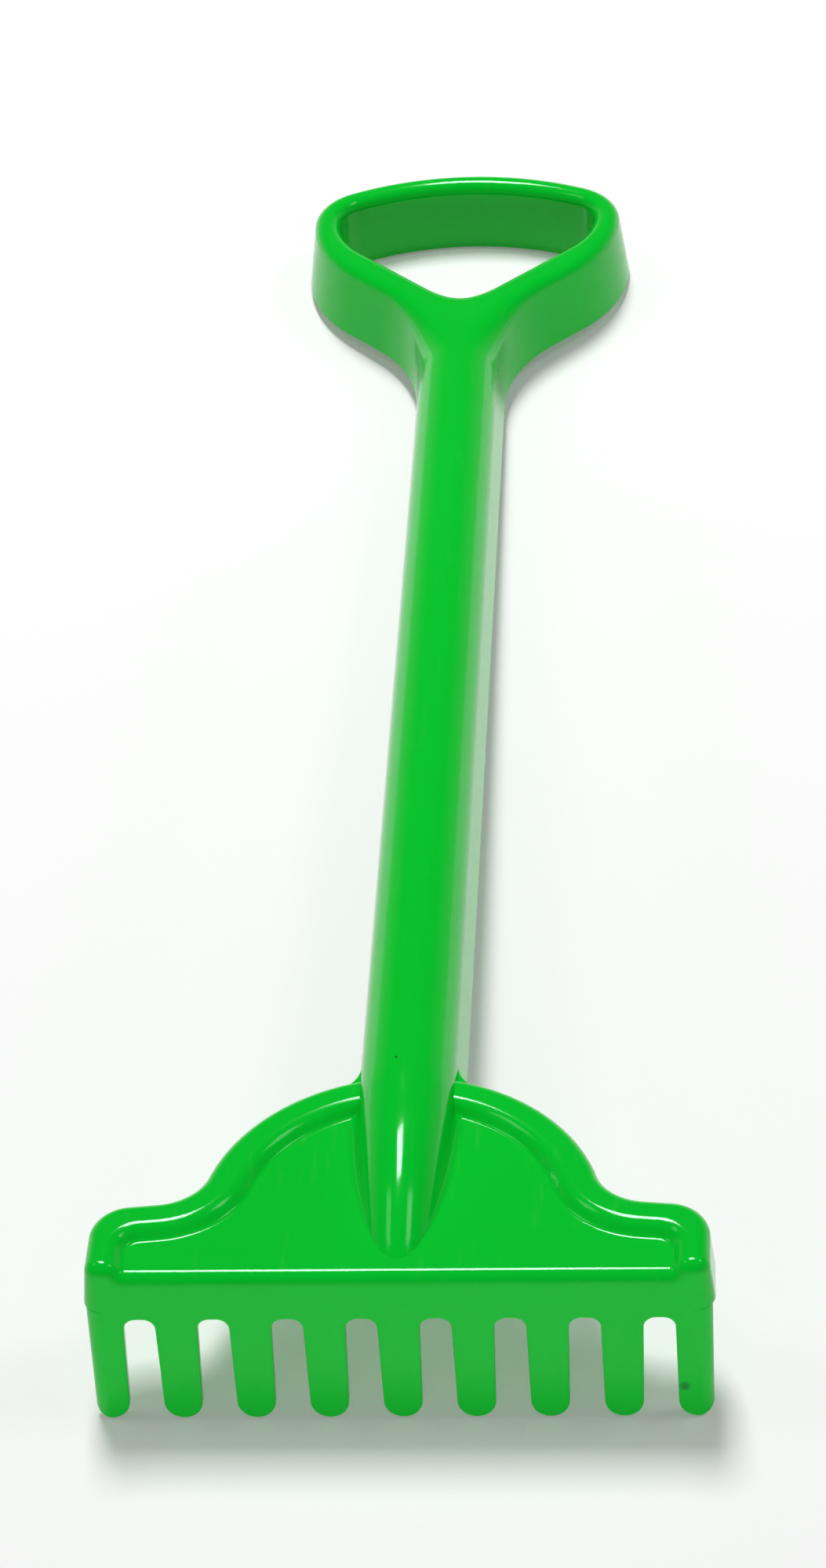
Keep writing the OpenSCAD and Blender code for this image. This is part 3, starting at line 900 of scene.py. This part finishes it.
def band_rib(place, outwards, side):
    middle = (place - outwards * HOLE_IN / 2).to_3d() * MM
    bpy.ops.mesh.primitive_cube_add(size=MM)
    piece = bpy.context.object
    piece.scale = (HOLE_IN - WALL, RIB_T, BAND_RIB_H)
    bpy.ops.object.transform_apply(location=False, rotation=False, scale=True)
    bm = edit(piece)
    pick_parts(piece, bm.verts, lambda v: v.co.z > 0)
    bpy.ops.transform.resize(value=(RIB_TAPER, 1, 1))
    done()
    settle(piece, (side * middle.x, middle.y, BAND_RIB_Z * MM),
           (0, 0, side * math.atan2(outwards.y, outwards.x)))
    return piece


band_ribs = []
for side in (-1, 1):
    for i in range(BAND_RIBS):
        place, outwards, _ = band[round((i + 0.5) / BAND_RIBS * (len(band) - 1))]
        band_ribs.append(band_rib(place, outwards, side))
join(grip, closing_wall, tongue, *band_ribs)
report("grip with its inner walls:", grip)

# %% [markdown]
# ## Laying the pieces down
# The drawing is turned by the angle at which the tool rests on its tine tips and on the far
# edge of the grip, and moved so that the middle of its box stands over the origin. Smooth
# shading then takes the small facets out of the round parts, and Weighted Normal keeps the
# large flat faces flat beside them.

# %% Laying down
LAY, MIDDLE_Y, TIPS_DOWN = math.radians(3.73115), 246.5046, 43.1503
SHARP_FROM = math.radians(32)

for piece in (head, shaft, grip):
    settle(piece, at(0, -MIDDLE_Y, TIPS_DOWN), (-LAY, 0, 0))
    bpy.ops.object.shade_smooth_by_angle(angle=SHARP_FROM)
    apply_modifier(piece, "WEIGHTED_NORMAL", keep_sharp=True, weight=60)
    report(piece.name, piece)

# %% [markdown]
# ## Glossy green plastic
# All three pieces are the same polypropylene, coloured right through and moulded against
# polished steel. One material serves for all of them. Its nodes read object coordinates, because
# a pattern in them is fixed to the piece and needs no unwrapping.

# %% A material and its wiring
green = bpy.data.materials.new("glossy_green_plastic")
green.use_nodes = True
shader = green.node_tree.nodes["Principled BSDF"]


def node(owner, kind, **inputs):
    """A shader node, with values for inputs whose names are written with underscores."""
    new = owner.node_tree.nodes.new("ShaderNode" + kind)
    for name, value in inputs.items():
        new.inputs[name.replace("_", " ")].default_value = value
    return new


def wire(owner, source, target):
    owner.node_tree.links.new(source, target)


coordinates = node(green, "TexCoord").outputs["Object"]
print("material:", green.name)

# %% [markdown]
# The green is never quite even, and sand has rubbed it a little, more along the tool than across
# it. Noise gives both: very wide noise mixes two greens, and fine noise that is drawn out along
# the tool is cut off low down, so that only its peaks are rubbed paler.

# %% Green plastic
DEEP_GREEN, BRIGHT_GREEN, WORN_GREEN = (
    (0.0, 0.58, 0.024, 1), (0.0, 0.63, 0.032, 1), (0.10, 0.60, 0.12, 1))


def noise(scale, detail=2.0, stretch=(1, 1, 1)):
    """Noise with about one blotch in 1/scale metres."""
    mapping = node(green, "Mapping", Scale=stretch)
    texture = node(green, "TexNoise", Scale=scale, Detail=detail)
    wire(green, coordinates, mapping.inputs["Vector"])
    wire(green, mapping.outputs["Vector"], texture.inputs["Vector"])
    return texture.outputs["Fac"]


def between(value, low, high, new_low, new_high):
    scale = node(green, "MapRange", From_Min=low, From_Max=high, To_Min=new_low, To_Max=new_high)
    wire(green, value, scale.inputs["Value"])
    return scale.outputs["Result"]


def mixed(factor, first, second):
    """A mix of two colours, each given as a value or as another node's output."""
    mix = node(green, "Mix")
    mix.data_type = "RGBA"
    wire(green, factor, mix.inputs["Factor"])
    for value, name in ((first, "A_Color"), (second, "B_Color")):
        socket = next(i for i in mix.inputs if i.identifier == name)
        if isinstance(value, tuple):
            socket.default_value = value
        else:
            wire(green, value, socket)
    return next(o for o in mix.outputs if o.identifier == "Result_Color")


rubbed = between(noise(420, detail=6, stretch=(1, 0.12, 1)), 0.60, 0.74, 0.0, 1.0)
colour = mixed(noise(14), DEEP_GREEN, BRIGHT_GREEN)
colour = mixed(between(rubbed, 0, 1, 0, 0.06), colour, WORN_GREEN)
print("plastic: two greens, and rubbing along the tool")

# %% [markdown]
# The rake in the photograph has been used: there is a dark speck at the root of the shaft's nose
# and a smudge on the last tine. Each is a small mask round one point of the piece.

# %% Two small marks
SPECK, SPECK_R, SPECK_GREEN = (-2.3, -180.4, 50.7), 0.55, (0.004, 0.10, 0.012, 1)
SMUDGE, SMUDGE_R, SMUDGE_GREEN = (68.3, -252.2, 9.7), 1.6, (0.0, 0.24, 0.03, 1)


def mark(point, radius, tint, colour):
    """The colour with a spot of another tint that fades over the outer half of its radius."""
    apart = node(green, "VectorMath")
    apart.operation = "DISTANCE"
    wire(green, coordinates, apart.inputs[0])
    apart.inputs[1].default_value = at(*point)
    spot = between(apart.outputs["Value"], radius * 0.5 * MM, radius * MM, 0.8, 0.0)
    return mixed(spot, colour, tint)


colour = mark(SPECK, SPECK_R, SPECK_GREEN, colour)
colour = mark(SMUDGE, SMUDGE_R, SMUDGE_GREEN, colour)
wire(green, colour, shader.inputs["Base Color"])
print("marks of", SPECK_R, "and", SMUDGE_R, "mm radius")

# %% [markdown]
# The gloss is high and the skin is never quite even: it waves a little where the wall has
# shrunk, it has a very fine grain, and it is a little duller where it is rubbed. What it mirrors
# is a little weaker and greener than in a clear lacquer, which keeps the green deep. Two Bump
# nodes in a row add up, so the waves and the grain are set apart from each other.

# %% Gloss and skin
POLISHED, DULLED = (0.11, 0.11, 0.11, 1), (0.16, 0.16, 0.16, 1)
wire(green, mixed(rubbed, POLISHED, DULLED), shader.inputs["Roughness"])
shader.inputs["Specular IOR Level"].default_value = 0.3
shader.inputs["Specular Tint"].default_value = (0.8, 1.0, 0.95, 1)

waves = node(green, "Bump", Strength=0.5, Distance=0.12 * MM)
grain = node(green, "Bump", Strength=0.25, Distance=0.01 * MM)
wire(green, noise(70, detail=1), waves.inputs["Height"])
wire(green, noise(1800, detail=3), grain.inputs["Height"])
wire(green, waves.outputs["Normal"], grain.inputs["Normal"])
wire(green, grain.outputs["Normal"], shader.inputs["Normal"])

for piece, name in ((head, "rake_head"), (shaft, "shaft"), (grip, "grip")):
    piece.data.materials.clear()
    piece.data.materials.append(green)
    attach(piece, "root")
    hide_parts(name)
print("green plastic with", len(green.node_tree.nodes), "nodes on 3 pieces")

# %% [markdown]
# ## Floor
# The rake lies on plain white card. The card takes its light like any matt surface, so it keeps
# the shadow; towards the camera and in reflections a little light of its own makes it white.

# %% White card
CARD_METRES, CARD_GLOW = 30, 0.18
pick()
bpy.ops.mesh.primitive_plane_add(size=CARD_METRES, location=(0, 0, 0))
floor = bpy.context.object
floor.name = "white_card"
card = bpy.data.materials.new("white_card")
card.use_nodes = True
matt = card.node_tree.nodes["Principled BSDF"]
matt.inputs["Base Color"].default_value = (0.88, 0.88, 0.88, 1)
matt.inputs["Roughness"].default_value = 0.9
matt.inputs["Emission Color"].default_value = (1, 1, 1, 1)
seen = node(card, "LightPath")
either = seen.outputs["Is Camera Ray"]
for name in ("Is Glossy Ray", "Is Transmission Ray"):
    larger = node(card, "Math")
    larger.operation = "MAXIMUM"
    wire(card, either, larger.inputs[0])
    wire(card, seen.outputs[name], larger.inputs[1])
    either = larger.outputs["Value"]
glow = node(card, "MapRange", To_Max=CARD_GLOW)
wire(card, either, glow.inputs["Value"])
wire(card, glow.outputs["Result"], matt.inputs["Emission Strength"])
floor.data.materials.append(card)
print("white card:", round(floor.dimensions.x, 1), "m square")

# %% [markdown]
# ## Light
# Gloss needs something to mirror. The room around is a pale grey that gets darker upwards, so
# that the flat tops stay a deep green while the steep sides mirror the paler part.

# %% Room
HORIZON, CEILING, FALLS_OVER = 0.55, 0.09, 0.4
world = bpy.data.worlds.new("studio")
bpy.context.scene.world = world
world.use_nodes = True
upwards = node(world, "SeparateXYZ")
falling = node(world, "MapRange", From_Min=0.0, From_Max=FALLS_OVER, To_Min=HORIZON,
               To_Max=CEILING)
wire(world, node(world, "TexCoord").outputs["Object"], upwards.inputs["Vector"])
wire(world, upwards.outputs["Z"], falling.inputs["Value"])
room = world.node_tree.nodes["Background"]
room.inputs["Color"].default_value = (1, 1, 1, 1)
wire(world, falling.outputs["Result"], room.inputs["Strength"])
print("room: brightness", HORIZON, "at the horizon and", CEILING, "above")

# %% [markdown]
# The thin white lines on the real rim, nose and grip all come from one tall soft box that hangs
# behind the tool, well above the horizon. Two small ones at the sides draw the two pale patches
# on the tip of the nose. The long one in front lights the front wall and the tines, and is kept
# out of the reflections, because the photograph shows none of it.

# %% Soft boxes
def soft_box(name, watts, size, azimuth, elevation, distance, mirrored=True):
    """A soft box that looks at the rake from its azimuth, 90 being behind it; in metres."""
    light = bpy.data.lights.new(name, "AREA")
    light.energy = watts
    light.shape = "RECTANGLE"
    light.size, light.size_y = size
    box = bpy.data.objects.new(name, light)
    out = direction(azimuth) * math.cos(math.radians(elevation))
    out.z = math.sin(math.radians(elevation))
    box.location = out * distance
    box.rotation_euler = (-out).to_track_quat("-Z", "Y").to_euler()
    box.visible_glossy = mirrored
    bpy.context.collection.objects.link(box)
    print(name, watts, "W from", azimuth, "degrees,", elevation, "degrees up")


soft_box("tall_soft_box", 58, size=(0.6, 0.85), azimuth=101, elevation=65, distance=2.8)
soft_box("front_soft_box", 19, size=(2.4, 0.4), azimuth=270, elevation=7, distance=2.5,
         mirrored=False)
soft_box("left_soft_box", 2.0, size=(0.5, 0.5), azimuth=172, elevation=55, distance=2.0)
soft_box("right_soft_box", 3.2, size=(0.5, 0.5), azimuth=8, elevation=55, distance=2.0)

# %% [markdown]
# ## Camera
# The camera was fitted to the outline of the rake in the photograph: it stands in front of the
# tines and looks down along the shaft with a long lens.

# %% Camera
LENS, EYE, TURN = 100.8, (79.7, -946.38, 825.453), (48.2804, 3.2916, 2.485)
camera_data = bpy.data.cameras.new("camera")
camera_data.lens = LENS
camera_data.clip_end = 20
camera = bpy.data.objects.new("camera", camera_data)
camera.location = at(*EYE)
camera.rotation_euler = [math.radians(a) for a in TURN]
bpy.context.collection.objects.link(camera)
bpy.context.scene.camera = camera
bpy.context.scene.view_settings.view_transform = "Standard"
print("camera with a", LENS, "mm lens")
